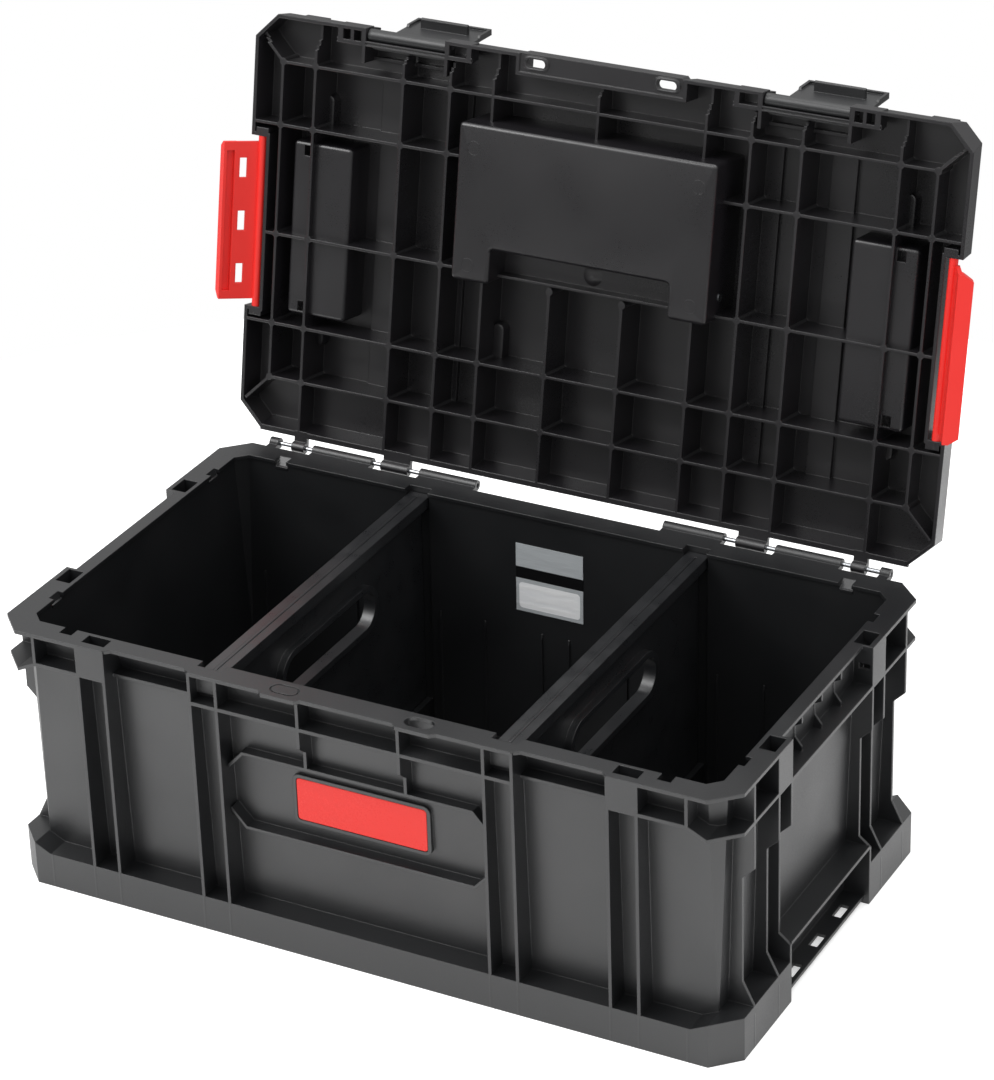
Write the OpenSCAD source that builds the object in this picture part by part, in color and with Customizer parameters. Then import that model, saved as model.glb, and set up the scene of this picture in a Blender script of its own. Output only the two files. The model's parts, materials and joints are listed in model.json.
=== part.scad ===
// Stackable tool case with a hinged lid, shown open as it stands.
// Millimetres, +Z up, X left to right, front face towards -Y.
// The origin is the centre of the tub's footprint, on the ground.

/* [Body] */
// Width of the tub across its rim
body_w = 526; // [500:1:560]
// Depth of the tub across its rim
body_d = 298; // [288:1:320]
// Height of the tub from the ground to its rim
body_h = 192; // [175:1:230]
// Cut across each corner of the rim, belt and plinth
corner_cut = 17; // [12:1:22]
// Thickness of the moulded walls
wall = 2.5; // [2:0.1:3]
// How far each wall leans in between rim and floor
wall_lean = 5; // [2:0.5:7]
// Width of the rim flange, outer edge to opening
rim_w = 15.5; // [14:0.5:18]
// Thickness of the rim flange
rim_t = 2.6; // [2:0.1:4]
// How far the rim's inner edge stands in over the wall
rim_lip = 1.8; // [0.5:0.1:2.5]
// Cut across each corner of the inside
cavity_cut = 8; // [5:1:12]

/* [Belt and plinth] */
// Drop from the rim to the belt along front and back
belt_drop = 21; // [18:1:26]
// Drop from the rim to the belt round the corners and sides
belt_side_drop = 27.5; // [26:0.5:34]
// Thickness of the belt and of the other ledges
ledge_t = 2.5; // [2:0.1:3.5]
// Height of the plinth along front and back
plinth_h = 25; // [20:1:28]
// Height of the plinth round the corners and sides
plinth_side_h = 31; // [29:1:36]
// Thickness of the plinth's skirt
skirt_t = 3; // [2.4:0.1:4]
// Height of the floor's underside above the ground
floor_z = 11; // [8:1:14]
// Thickness of the floor
floor_t = 3; // [2:0.2:4]

/* [Ribs] */
// Thickness of the outside ribs
rib_t = 2.2; // [1.6:0.1:3]
// Distance from the centre to each divider and its pair of ribs
divider_x = 105.2; // [102:0.2:108]
// Half the distance between the ribs of a pair
pair_half = 9.8; // [9:0.1:11]
// Distance from the body's side to the front sockets
socket_in = 73.5; // [70:0.5:78]
// Distance from the body's side to the corner ribs
corner_rib_in = 30.5; // [27:0.5:34]
// Distance from the centre to each side socket
side_socket_y = 72; // [71.5:0.5:76]
// Height of the clip notch in the side plinth
notch_roof = 45; // [36:0.5:50]
// How far the side ribs step back between belt and plinth
side_rib_step = 8; // [4:1:10]
// Number of thin stop ribs beside each clip recess
clip_ribs = 3; // [2:1:5]

/* [Sockets and padlock holes] */
// Length of each socket hole along the wall
socket_len = 17; // [12:0.5:17.5]
// Width of each socket hole across the rim
socket_wid = 9.5; // [6:0.5:10]
// Distance from the centre to each padlock hole
padlock_x = 48; // [44:1:52]
// Length of each padlock hole
padlock_len = 20; // [14:1:22]
// Width of each padlock hole
padlock_wid = 11; // [6:0.5:11]

/* [Lid] */
// How far each end of the lid stands in from the tub's rim
lid_inset = 0.5; // [0:0.1:4]
// Depth of the lid
lid_d = 293.4; // [288:0.2:296]
// Height of the lid's edge
lid_edge_h = 20.8; // [19:0.2:24]
// Height of the lid's raised top
lid_h = 31.4; // [30:0.2:36]
// Width of the low border at the two ends of the raised top
lid_border = 20.9; // [20:0.1:24]
// How far the lid's outer walls lean in by the top of its edge
lid_lean = 2.6; // [1:0.2:4]
// Thickness of the ribs under the lid
lid_rib_t = 2; // [1.4:0.1:3]
// Depth of the two pairs of grooves in the raised top
groove_d = 3; // [1:0.5:4]
// Angle of the open lid past closed
open_angle = 101; // [80:1:104]

/* [Hinge] */
// Distance of the hinge axis behind the tub's rim
hinge_back = 8; // [7:0.2:10]
// Radius of the hinge pins
hinge_pin_r = 1.6; // [1.2:0.1:2]
// Radius of the hinge barrels
knuckle_r = 3.7; // [3:0.1:4.5]

/* [Front latches] */
// Distance from the centre to each front latch
latch_x = 146.5; // [144:0.5:149]
// Width of each latch plate
latch_w = 57; // [48:1:58]
// Length of each latch from its axis to its tip
latch_len = 64; // [58:1:68]
// Thickness of the latch plate
latch_t = 2.5; // [2:0.1:3]
// Angle of the thrown-back latch past latched
latch_back = 172; // [150:1:173]

/* [Side clips] */
// Length of each red clip along the lid's side
clip_len = 111.6; // [100:0.2:114]
// Reach of each red clip from its axis
clip_reach = 26.8; // [26:0.2:30]
// Angle of the left clip below the lid's plane
clip_left_drop = 45; // [0:1:80]
// Angle of the right clip below the lid's plane
clip_right_drop = 64; // [0:1:80]

/* [Handle] */
// Width of the handle well under the lid
well_w = 187; // [176:1:190]
// Depth of the well's floor below the lid's rim plane
well_drop = 13.2; // [10:0.2:16]
// Radius of the handle pins
handle_pin_r = 3; // [2:0.1:4]
// Side of the square soft grip
grip_side = 21; // [18:0.5:22]

/* [Dividers] */
// Thickness of the divider panel
divider_t = 2.6; // [2:0.1:4]
// Width of the bar along the divider's top
divider_bar_w = 15.5; // [12:0.5:16]
// Depth of the divider's top below the rim
divider_drop = 4.5; // [4:0.5:8]
// Length of the hand slot in each divider
slot_len = 118; // [80:1:140]
// Height of the hand slot in each divider
slot_h = 27; // [20:1:34]

/* [Badge and label] */
// Width of the badge plate
badge_w = 94; // [60:0.5:100]
// Height of the badge plate
badge_h = 30.5; // [18:0.5:32]
// Side of the square inside label
label_side = 51; // [30:1:56]

/* [Hidden] */
$fn = 40;

black = "#2a2b2c";
dark = "#1d1d1e";
red = "#e8352b";
steel = "#c8ccd0";
silver = "#b4b6b8";

half_w = body_w / 2;
half_d = body_d / 2;
in_x = half_w - rim_w;                 // half the opening at the rim
in_y = half_d - rim_w;
fit = 0.05;                            // running clearance of a pin in its bore
gap = 0.5;                             // clearance between pieces that slide or rest apart
lid_gap = 0.4;                         // gap between the closed lid and the rim

belt_z = body_h - belt_drop;           // top of the belt along front and back
belt_side_z = body_h - belt_side_drop; // top of the belt round the corners and sides
bay_rim_y = half_d - 4;                // the rim steps back here behind each front latch
inset_y = half_d - 10;                 // and the belt here
catch_y = half_d - 20.2;               // foot of the wall that slants in above the belt there
inset_x = half_w - 7.5;                // the rim steps back here behind each side clip
socket_x = half_w - socket_in;
corner_rib_x = half_w - corner_rib_in;
corner_rib_y = half_d - 32;
side_block = 10.3;                     // half length of the block round a side socket
clip_bay = side_socket_y - side_block; // half length of the recess between the side sockets
slot_pitch = 37.5;                     // spacing of the clip's windows and the ledge's slots

front_latch_a = divider_x + pair_half + rib_t / 2; // the bay between two ribs that a latch hangs in
front_latch_b = socket_x - pair_half - rib_t / 2;

groove_w = 2 * pair_half - rib_t;      // vertical groove that holds a divider's edge
groove_out = 2.5;
pocket_y = half_d - 10.5;              // end of the pocket for a divider's bar
pocket_h = 15;

hinge_y = half_d + hinge_back;
hinge_z = body_h - 0.4;

lid_z = body_h + lid_gap;              // underside of the closed lid
lid_back = half_d - 0.4;               // back edge of the closed lid
lid_front = lid_back - lid_d;
lid_mid = (lid_back + lid_front) / 2;
lid_w = body_w - 2 * lid_inset;
lid_half = lid_w / 2;
field_x = lid_half - lid_border;
field_y0 = lid_front + 30.6;            // the raised top stops here in front
field_y1 = lid_back - 36.5;            // and here at the back
edge_rib_in = wall - lid_rib_t / 2;
edge_rib_x = field_x - edge_rib_in;    // ribs under the edges of the raised top, flush with its walls
edge_rib_y0 = field_y0 + edge_rib_in;
edge_rib_y1 = field_y1 - edge_rib_in;
cross_rib = [lid_back - 77, lid_back - 140.6, lid_front + 75.9]; // ribs across the whole lid
long_rib = [lid_half - 152, lid_half - 116, lid_half - 48];      // ribs from front to back
well_half = well_w / 2;
well_y0 = lid_front + 131.4;           // back wall of the well between its legs
well_y1 = lid_front + 50.1;            // front wall of the well
leg_y = lid_front + 155.4;             // back end of the well's legs
leg_in = well_half - 26;               // inner side of the legs
side_well_a = lid_half - 76.5;         // the two side wells, measured from the lid's side
side_well_b = lid_half - 32.5;
side_well_len = 120;
side_well_z = 5.5;

latch_axis_y = lid_front + 5.4;
latch_axis_z = lid_z + 6;
barrel_r = 4.4;
latch_pin_r = 1.6;
latch_off = 7.4;                       // from the latch's axis to the inner face of its plate
bay_half = latch_w / 2 + 1.8;          // half the gap between a latch's two bosses
boss_in = 20;                          // width of the boss towards the middle
boss_out = 21.5;                       // width of the boss towards the side
wall_back_y = lid_front + 21.4;        // the lid's front wall behind a latch
wall_back_z = lid_z + 14;              // that wall's lower edge
lip_at = latch_len - 14;               // from the latch's axis to its lip
pin_bite = 3;                          // how far a latch pin goes into each boss
strip_half = 60;                       // half length of the padlock strip
strip_in = 12.4;                       // its width, front to back
hole_y = lid_front + 5.7;              // line of its two holes

clip_axis_x = lid_half - 7.3;
clip_axis_z = lid_z + 3.2;
clip_rod_r = 2.9;
clip_off = 1;                          // from the clip's axis to the face of its plate
clip_plate_t = 3;
clip_bar_w = 8.8;
clip_bar_t = 10.2;
clip_show = 4.8;                       // bare length of the clip's stub at each end
clip_stub = clip_show + 4.2;
clip_notch_x = lid_half - 11.9;        // inner wall of the clip's notch in the lid
clip_notch_half = clip_len / 2 + clip_show;

handle_y = lid_front + 141.4;
handle_z = lid_z + 6;
arm_w = 16;
arm_x = (leg_in + wall + well_half - wall) / 2;
core = 13;                             // side of the handle's square core inside the grip
grip_y = well_y1 + wall + gap + grip_side / 2;
grip_z = lid_z + lid_h - 2.6 - grip_side / 2;

divider_z0 = floor_z + floor_t + 0.4;
divider_z1 = body_h - divider_drop;
slot_z = body_h - 50;
badge_z = body_h - 81.8;
badge_face = half_d - 12.6;
badge_edge = 2.8;                      // width of the raised frame round the badge
badge_t = 1.6;
badge_r = 2.4;
label_z = body_h - 49;
label_x = -4;

// half depth or width of the inside at height z, less than at the rim by the lean
function lean(z) = wall_lean * (body_h - z) / (body_h - floor_z);

module oct2d(w, d, c) {
    polygon([[-w/2, -d/2 + c], [-w/2 + c, -d/2], [w/2 - c, -d/2], [w/2, -d/2 + c],
        [w/2, d/2 - c], [w/2 - c, d/2], [-w/2 + c, d/2], [-w/2, d/2 - c]]);
}

module plate(z0, z1) {
    translate([0, 0, z0]) linear_extrude(height = z1 - z0) children();
}

module box(x0, x1, y0, y1, z0, z1) {
    translate([x0, y0, z0]) cube([x1 - x0, y1 - y0, z1 - z0]);
}

// Outline in Y and Z, drawn out along X
module along_x(x0, x1) {
    translate([x0, 0, 0]) rotate([90, 0, 90]) linear_extrude(height = x1 - x0) children();
}

// Outline in X and Z, drawn out along Y
module along_y(y0, y1) {
    translate([0, y1, 0]) rotate([90, 0, 0]) linear_extrude(height = y1 - y0) children();
}

module rod(r, x0, x1) {
    translate([x0, 0, 0]) rotate([0, 90, 0]) cylinder(r = r, h = x1 - x0);
}

module four() {
    for (i = [0, 1]) for (j = [0, 1]) mirror([i, 0, 0]) mirror([0, j, 0]) children();
}

module two() {
    for (i = [0, 1]) mirror([i, 0, 0]) children();
}

module front_back() {
    for (j = [0, 1]) mirror([0, j, 0]) children();
}

// Leaning outline between two heights, with half size s at the rim
module leaning(s, z0, z1) {
    polygon([[-s + lean(z0), z0], [s - lean(z0), z0], [s - lean(z1), z1], [-s + lean(z1), z1]]);
}

module leaning_box(x, y, c, z0, z1) {
    intersection() {
        along_x(-x, x) leaning(y, z0, z1);
        along_y(-y, y) leaning(x, z0, z1);
        plate(z0, z1) oct2d(2 * x, 2 * y, c);
    }
}

// The plan of rim, belt and plinth: a rectangle with its corners cut
module rim_plan() {
    oct2d(body_w, body_d, corner_cut);
    two() padlock_bulge();
}

// Strip in front of y between the two ribs beside a front latch, with slanting ends
module bay_front(y) {
    c = half_d - y;
    two() polygon([[front_latch_a - 1, -half_d - 5], [front_latch_a - 1, -half_d + 0.5],
        [front_latch_a + c - 0.5, -y], [front_latch_b - c + 0.5, -y],
        [front_latch_b + 1, -half_d + 0.5], [front_latch_b + 1, -half_d - 5]]);
}

module padlock_bulge() {
    polygon([[padlock_x - 15, -half_d + 1], [padlock_x - 15, -half_d], [padlock_x - 12, -half_d - 3],
        [padlock_x + 12, -half_d - 3], [padlock_x + 15, -half_d], [padlock_x + 15, -half_d + 1]]);
}

module stadium(l, w) {
    square([l - w, w], center = true);
    for (i = [-1, 1]) translate([i * (l - w) / 2, 0]) circle(d = w);
}

module rim() {
    difference() {
        plate(body_h - rim_t, body_h) difference() {
            rim_plan();
            bay_front(bay_rim_y);
        }
        two() box(inset_x, half_w + 1, -clip_bay, clip_bay, body_h - rim_t - 1, body_h + 1);
    }
}

module belt() {
    slope = corner_rib_in - corner_cut;
    end_x = half_w - corner_cut;
    // front and back
    difference() {
        plate(belt_z - ledge_t, belt_z) intersection() {
            rim_plan();
            square([2 * corner_rib_x, 2 * body_d], center = true);
        }
        two() box(front_latch_a, front_latch_b, -half_d - 1, -inset_y, 0, body_h);
        two() box(padlock_x - 16, padlock_x + 16, -half_d - 4, -half_d, 0, body_h);
    }
    // slope down to the corners
    four() along_y(in_y - wall_lean, half_d) polygon([[corner_rib_x, belt_z], [end_x, belt_side_z],
        [end_x, belt_side_z - ledge_t], [corner_rib_x, belt_z - ledge_t]]);
    // corners and sides
    plate(belt_side_z - ledge_t, belt_side_z) difference() {
        oct2d(body_w, body_d, corner_cut);
        square([2 * end_x, body_d + 1], center = true);
    }
    four() box(end_x - 0.1, end_x + 0.1, in_y - wall_lean, half_d, belt_side_z - ledge_t, belt_side_z);
    two() box(in_x - wall_lean, end_x,
        -half_d + corner_cut, half_d - corner_cut, belt_side_z - ledge_t, belt_side_z);
}

// The plinth's outer shape, drawn in by i all round and down by d
module plinth_shape(i, d) {
    end_x = half_w - corner_cut;
    plate(-i, plinth_h - d) oct2d(body_w - 2 * i, body_d - 2 * i, corner_cut - 0.6 * i);
    intersection() {
        plate(-i, plinth_side_h - d) oct2d(body_w - 2 * i, body_d - 2 * i, corner_cut - 0.6 * i);
        two() along_y(-half_d, half_d) polygon([[end_x - 12, 0], [end_x - 12, plinth_h - d],
            [end_x, plinth_side_h - d], [half_w, plinth_side_h - d], [half_w, 0]]);
    }
}

module plinth() {
    difference() {
        plinth_shape(0, 0);
        difference() {
            plinth_shape(skirt_t, ledge_t);
            // ribs inside the plinth
            for (x = rib_places) two() box(x - rib_t / 2, x + rib_t / 2, -half_d, half_d, -1, plinth_side_h);
        }
        two() box(in_x - wall_lean, half_w + 1, -clip_bay, clip_bay, -1, plinth_side_h + 1);
    }
    two() clip_notch();
}

rib_places = [divider_x - pair_half, divider_x + pair_half, socket_x - pair_half, socket_x + pair_half];

// Recess in the side plinth, with the slotted ledge that a clip hooks over
module clip_notch() {
    box(in_x - wall_lean, half_w, -clip_bay, clip_bay, notch_roof - ledge_t, notch_roof);
    difference() {
        box(in_x - wall_lean, half_w - 3.5, -clip_bay, clip_bay, 4, 4 + ledge_t);
        for (j = [-1:1]) box(half_w - 12.5, half_w - 6.5, j * slot_pitch - 7.5, j * slot_pitch + 7.5, 3, 8);
    }
}

module front_ribs() {
    for (x = rib_places) two() front_back()
        box(x - rib_t / 2, x + rib_t / 2, in_y - wall_lean, half_d, 0.5, body_h - 0.5);
    four() box(corner_rib_x - rib_t / 2, corner_rib_x + rib_t / 2, in_y - wall_lean, half_d,
        belt_z - ledge_t, body_h - 0.5);
    // short ribs from the rim down to the upper ridge
    two() front_back() along_x(short_rib_x - rib_t / 2, short_rib_x + rib_t / 2)
        polygon([[in_y - wall_lean, ridge_top], [ridge_y, ridge_top], [ridge_y, belt_z - 21],
            [half_d, belt_z - 15], [half_d, body_h - 0.5], [in_y - wall_lean, body_h - 0.5]]);
}

short_rib_x = 36;
ridge_top = body_h - 56;
ridge_low = body_h - 109;
ridge_y = half_d - 7;

// Two long ridges above and below the badge, with slanting ends
module ridges() {
    end = divider_x - pair_half - 2;
    front_back() {
        along_y(in_y - wall_lean, ridge_y) ridge_line(end, ridge_top, -1);
        along_y(in_y - wall_lean, ridge_y) ridge_line(end, ridge_low, 1);
    }
}

module ridge_line(end, z, s) {
    polygon([[-end, z + 12 * s], [-end + 11, z], [end - 11, z], [end, z + 12 * s],
        [end, z + 9 * s], [end - 10, z - 2 * s], [-end + 10, z - 2 * s], [-end, z + 9 * s]]);
}

module side_rib(y, z0) {
    along_y(y - rib_t / 2, y + rib_t / 2) polygon([[in_x - wall_lean, z0], [half_w, z0],
        [half_w, max(z0, plinth_side_h)], [half_w, notch_roof - 1.5], [half_w - side_rib_step, notch_roof + 5],
        [half_w - side_rib_step, belt_side_z - 41], [half_w, belt_side_z - 33],
        [half_w, body_h - 0.5], [in_x - wall_lean, body_h - 0.5]]);
}

module side_rib_outer(y) {
    along_y(y - rib_t / 2, y + rib_t / 2) polygon([[in_x - wall_lean, 0.5], [half_w, 0.5],
        [half_w, plinth_side_h], [half_w - side_rib_step, plinth_side_h + 16],
        [half_w - side_rib_step, belt_side_z - 42], [half_w, belt_side_z - 34],
        [half_w, body_h - 0.5], [in_x - wall_lean, body_h - 0.5]]);
}

module side_ribs() {
    four() {
        side_rib_outer(corner_rib_y);
        side_rib_outer(side_socket_y + side_block - rib_t / 2);
        side_rib(side_socket_y - side_block + rib_t / 2, 0);
    }
    // curved stop ribs behind the clip
    two() for (i = [0:clip_ribs - 1]) stop_rib((i - (clip_ribs - 1) / 2) * 30);
}

module stop_rib(y) {
    top = body_h - rim_t;
    out = inset_x - 0.4;
    along_y(y - 0.9, y + 0.9) polygon([[in_x - wall_lean, belt_side_z - 1], [out, belt_side_z - 1],
        [out, belt_side_z + 3], [out - 4.6, belt_side_z + 9], [out - 5, belt_side_z + 17],
        [out, belt_side_z + 19.5], [out, top + 0.5], [in_x - wall_lean, top + 0.5]]);
}

module socket_blocks() {
    two() box(socket_x - pair_half - rib_t / 2, socket_x + pair_half + rib_t / 2, -half_d, -in_y + wall_lean,
        belt_z - ledge_t, body_h - 0.5);
    four() box(in_x - wall_lean, half_w, side_socket_y - side_block, side_socket_y + side_block,
        belt_side_z - ledge_t, body_h - 0.5);
}

module socket_holes() {
    two() box(socket_x - socket_len / 2, socket_x + socket_len / 2, -half_d + 5.4, -half_d + 5.4 + socket_wid,
        belt_z - 10, body_h + 1);
    four() {
        box(half_w - 3.4 - socket_wid - 1.6, half_w - 3.4, side_socket_y - socket_len / 2,
            side_socket_y + socket_len / 2, belt_side_z - 10, body_h + 1);
        // slot into the socket from the clip's recess
        box(half_w - 9.5, half_w - 2, clip_bay - 1, clip_bay + 3, body_h - 16.7, body_h - 12.7);
    }
}

module divider_pockets() {
    four() box(divider_x - groove_w / 2 - rib_t, divider_x + groove_w / 2 + rib_t,
        in_y - wall_lean, pocket_y + wall,
        body_h - pocket_h - ledge_t, body_h - 0.5);
}

module divider_grooves() {
    for (i = [-1, 1]) translate([i * divider_x, 0, 0])
        along_x(-groove_w / 2, groove_w / 2) leaning(in_y + groove_out, floor_z + floor_t, body_h + 1);
    four() box(divider_x - groove_w / 2, divider_x + groove_w / 2, 0, pocket_y, body_h - pocket_h, body_h + 1);
}

// Notches in the inner edge of the rim
module rim_notches() {
    four() {
        box(notch_x - 4.6, notch_x + 4.6, in_y - 6, in_y + 5.8, body_h - 7, body_h + 1);
        box(in_x - 6, in_x + 2.2, notch_y - 5.4, notch_y + 5.4, body_h - 7, body_h + 1);
    }
}

notch_x = half_w - 49.8;
notch_y = half_d - 51;

// Ramp in each notch, with a small foot, that guides an insert down
module notch_ramps() {
    four() {
        along_x(notch_x - 4.7, notch_x + 4.7) notch_ramp(in_y, 5.8);
        along_y(notch_y - 5.5, notch_y + 5.5) notch_ramp(in_x, 2.2);
    }
}

module notch_ramp(y, d) {
    polygon([[y + d, body_h - 0.2], [y + 0.6, body_h - 4.6], [y - 0.7, body_h - 4.9], [y - 0.7, body_h - 7],
        [y + 0.3, body_h - 7.6], [y + wall - 0.4, body_h - 7.6],
        [y + d + 0.6, body_h - rim_t + 0.4], [y + d + 0.6, body_h - 0.2]]);
}

// Wall above the belt behind each front latch: it slants in
module catch_walls() {
    top = body_h - rim_t + 1;
    lip_y = in_y - rim_lip;
    shelf_y = in_y + wall - 0.6 - lean(belt_z - ledge_t);
    cheek = 1.8;
    two() {
        along_x(front_latch_a - cheek, front_latch_b + cheek)
            polygon([[-lip_y, top], [-catch_y + wall, belt_z - ledge_t], [-shelf_y, belt_z - ledge_t],
                [-shelf_y, belt_z], [-catch_y, belt_z], [-lip_y - wall - 0.2, top]]);
        for (x = [front_latch_a - cheek, front_latch_b]) along_x(x, x + cheek)
            polygon([[-lip_y, top], [-catch_y + wall, belt_z - ledge_t],
                [-shelf_y, belt_z - ledge_t], [-shelf_y, top]]);
    }
}

module catch_hollows() {
    two() along_x(front_latch_a, front_latch_b) polygon([[-half_d - 5, belt_z], [-catch_y, belt_z],
        [-in_y + rim_lip - wall, body_h - rim_t], [-half_d - 5, body_h - rim_t]]);
}

// Blocks that stand proud inside, with the guides for the dividers' feet
module inside_ribs() {
    z0 = floor_z + floor_t - 0.5;
    top = body_h - 89.5;
    middle = (divider_x + half_w) / 2;
    guide_w = 4.4;
    guide_x = divider_t / 2 + 0.6;
    front_back() two() {
        for (x = [10.4, divider_x - 50.9, divider_x - 16, divider_x + 16.5, middle - 28, half_w - 32.3])
            along_x(x - 0.7, x + 0.7)
                polygon([[in_y - wall_lean - 1.2, z0], [in_y + 0.4 - lean(z0), z0],
                    [in_y + 0.4 - lean(top), top],
                    [in_y - 0.2 - lean(top), top], [in_y - 1.2 - lean(top), top - 4]]);
        for (x = [divider_x - guide_x - guide_w, divider_x + guide_x])
            along_x(x, x + guide_w)
                polygon([[in_y - 27, z0], [in_y + groove_out + 0.4 - lean(z0), z0],
                    [in_y + groove_out + 0.4 - lean(30), 30], [in_y - 25, 30], [in_y - 27, 28]]);
    }
}

// Round-cornered outline of the badge, drawn out by i
module badge_outline(i) {
    r = badge_r + i;
    translate([0, badge_z]) {
        square([badge_w + 2 * i, badge_h + 2 * i - 2 * r], center = true);
        square([badge_w + 2 * i - 2 * r, badge_h + 2 * i], center = true);
        for (x = [-1, 1]) for (z = [-1, 1])
            translate([x * (badge_w / 2 + i - r), z * (badge_h / 2 + i - r)]) circle(r = r);
    }
}

module badge_boss() {
    along_y(-badge_face, -in_y + wall_lean) badge_outline(badge_edge);
}

// where the hinge's tubes and the lid's knuckles start and end, all measured from the body's side
hinge_tubes = [[half_w - 192, half_w - 147.7], [half_w - 109.7, half_w - 62.5], [half_w - 35, half_w - 28]];
lid_knuckles = [[half_w - 138.5, half_w - 117.2], [half_w - 55.6, half_w - 45.6]];

module hinge_barrels() {
    two() for (t = hinge_tubes) {
        translate([0, hinge_y, hinge_z]) rod(knuckle_r, t[0], t[1]);
        box(t[0], t[1], half_d - 2, hinge_y, body_h - rim_t, body_h - 0.1);
    }
}

module tub() {
    color(black) {
        difference() {
            union() {
                leaning_box(in_x + wall, in_y + wall, cavity_cut + 1.2, 0, body_h);
                for (i = [-1, 1]) translate([i * divider_x, 0, 0])
                    along_x(-groove_w / 2 - rib_t, groove_w / 2 + rib_t)
                        leaning(in_y + groove_out + wall, 0, body_h - 1);
                rim();
                belt();
                plinth();
                front_ribs();
                ridges();
                side_ribs();
                socket_blocks();
                divider_pockets();
                badge_boss();
                hinge_barrels();
            }
            leaning_box(in_x, in_y, cavity_cut, floor_z + floor_t, body_h - rim_t);
            plate(body_h - rim_t - 0.1, body_h + 1)
                oct2d(2 * (in_x - rim_lip), 2 * (in_y - rim_lip), cavity_cut);
            catch_hollows();
            divider_grooves();
            rim_notches();
            socket_holes();
            // recess under the floor, which seats on the lid of the case below
            plate(-1, floor_z) oct2d(2 * (in_x - wall_lean), 2 * (in_y - wall_lean), cavity_cut);
            // open padlock hole on the right, closed one with a groove round it on the left
            translate([padlock_x, -half_d + 7.4, body_h - 14]) linear_extrude(height = 16)
                stadium(padlock_len, padlock_wid);
            translate([-padlock_x, -half_d + 7.4, body_h - 0.8]) linear_extrude(height = 2) difference() {
                stadium(padlock_len, padlock_wid);
                stadium(padlock_len - 2, padlock_wid - 2);
            }
            // recess for the badge plate
            along_y(-badge_face - 1, -badge_face + badge_t) badge_outline(0.3);
            two() translate([0, hinge_y, hinge_z])
                rod(hinge_pin_r + fit, hinge_tubes[0][0] - 1, hinge_tubes[2][1] + 1);
        }
        inside_ribs();
        notch_ramps();
        catch_walls();
    }
}

// Outline of the lid, drawn in by i all round, with the notches for latches, clips and padlocks
module lid_plan(i) {
    difference() {
        translate([0, lid_mid]) oct2d(lid_w - 2 * i + 2, lid_d - 2 * i + 2, corner_cut - 0.6 * i + 2);
        for (j = [-1, 1]) {
            translate([j * latch_x - bay_half - i, lid_front - 2])
                square([2 * bay_half + 2 * i, wall_back_y - lid_front + 2 + i]);
            translate([j * (clip_notch_x - i) - (j < 0 ? 30 : 0), lid_mid - clip_notch_half - i])
                square([30, 2 * clip_notch_half + 2 * i]);
        }
        translate([-strip_half - i, lid_front - 2]) square([2 * (strip_half + i), strip_in + 2 + i]);
    }
}

// The lid's four outer walls lean in from the rim plane up, drawn in by i
module lid_envelope(i) {
    k = lid_lean / lid_edge_h;
    a = i - k;
    b = i + k * (lid_h + 1);
    intersection() {
        along_x(-lid_half - 1, lid_half + 1) polygon([[lid_front + a, lid_z - 1], [lid_back - a, lid_z - 1],
            [lid_back - b, lid_z + lid_h + 1], [lid_front + b, lid_z + lid_h + 1]]);
        along_y(lid_front - 1, lid_back + 1) polygon([[-lid_half + a, lid_z - 1], [lid_half - a, lid_z - 1],
            [lid_half - b, lid_z + lid_h + 1], [-lid_half + b, lid_z + lid_h + 1]]);
    }
}

module field_plan(i) {
    translate([-field_x + i, field_y0 + i]) square([2 * (field_x - i), field_y1 - field_y0 - 2 * i]);
}

module lid_shell() {
    difference() {
        union() {
            intersection() {
                plate(lid_z, lid_z + lid_edge_h) lid_plan(0);
                lid_envelope(0);
            }
            plate(lid_z + 1, lid_z + lid_h) field_plan(0);
        }
        intersection() {
            plate(lid_z - 1, lid_z + lid_edge_h - wall) lid_plan(wall);
            lid_envelope(wall);
        }
        // a latch's bay is open to the inside below the wall behind it
        two() box(latch_x - bay_half, latch_x + bay_half, wall_back_y - 1, wall_back_y + wall + 1,
            lid_z - 1, wall_back_z);
        difference() {
            plate(lid_z - 1, lid_z + lid_h - wall) field_plan(wall);
            // two pairs of grooves in the top show as raised bands underneath
            for (x = groove_at) two() box(x - wall, x + groove_len + wall, lid_front, lid_back,
                lid_z + lid_h - groove_d - wall, lid_z + lid_h);
        }
    }
}

groove_at = [lid_half - 154.5, lid_half - 102.5];
groove_len = 13;

// Ribs under the lid, all from the rim plane up to the skin
module lid_ribs() {
    t = lid_rib_t / 2;
    difference() {
        union() {
            intersection() {
                union() {
                    plate(lid_z, lid_z + lid_edge_h - 1) lid_plan(1);
                    plate(lid_z, lid_z + lid_h - 1) field_plan(1);
                }
                lid_envelope(1);
                rib_grid(t, lid_h - 1);
            }
            // the rib behind each latch reaches on into its bay
            two() box(long_rib[1] - t, long_rib[1] + t, wall_back_y - 5.6, wall_back_y + 2,
                lid_z, wall_back_z + 1);
        }
        // the ribs' lower edges step back near the front
        for (d = [[-1, 2.2], [-3.6, 4.4], [-7, 6.6]])
            box(-lid_half, lid_half, lid_front - 3, wall_back_y + d[0], lid_z - 1, lid_z + d[1]);
    }
}

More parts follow.
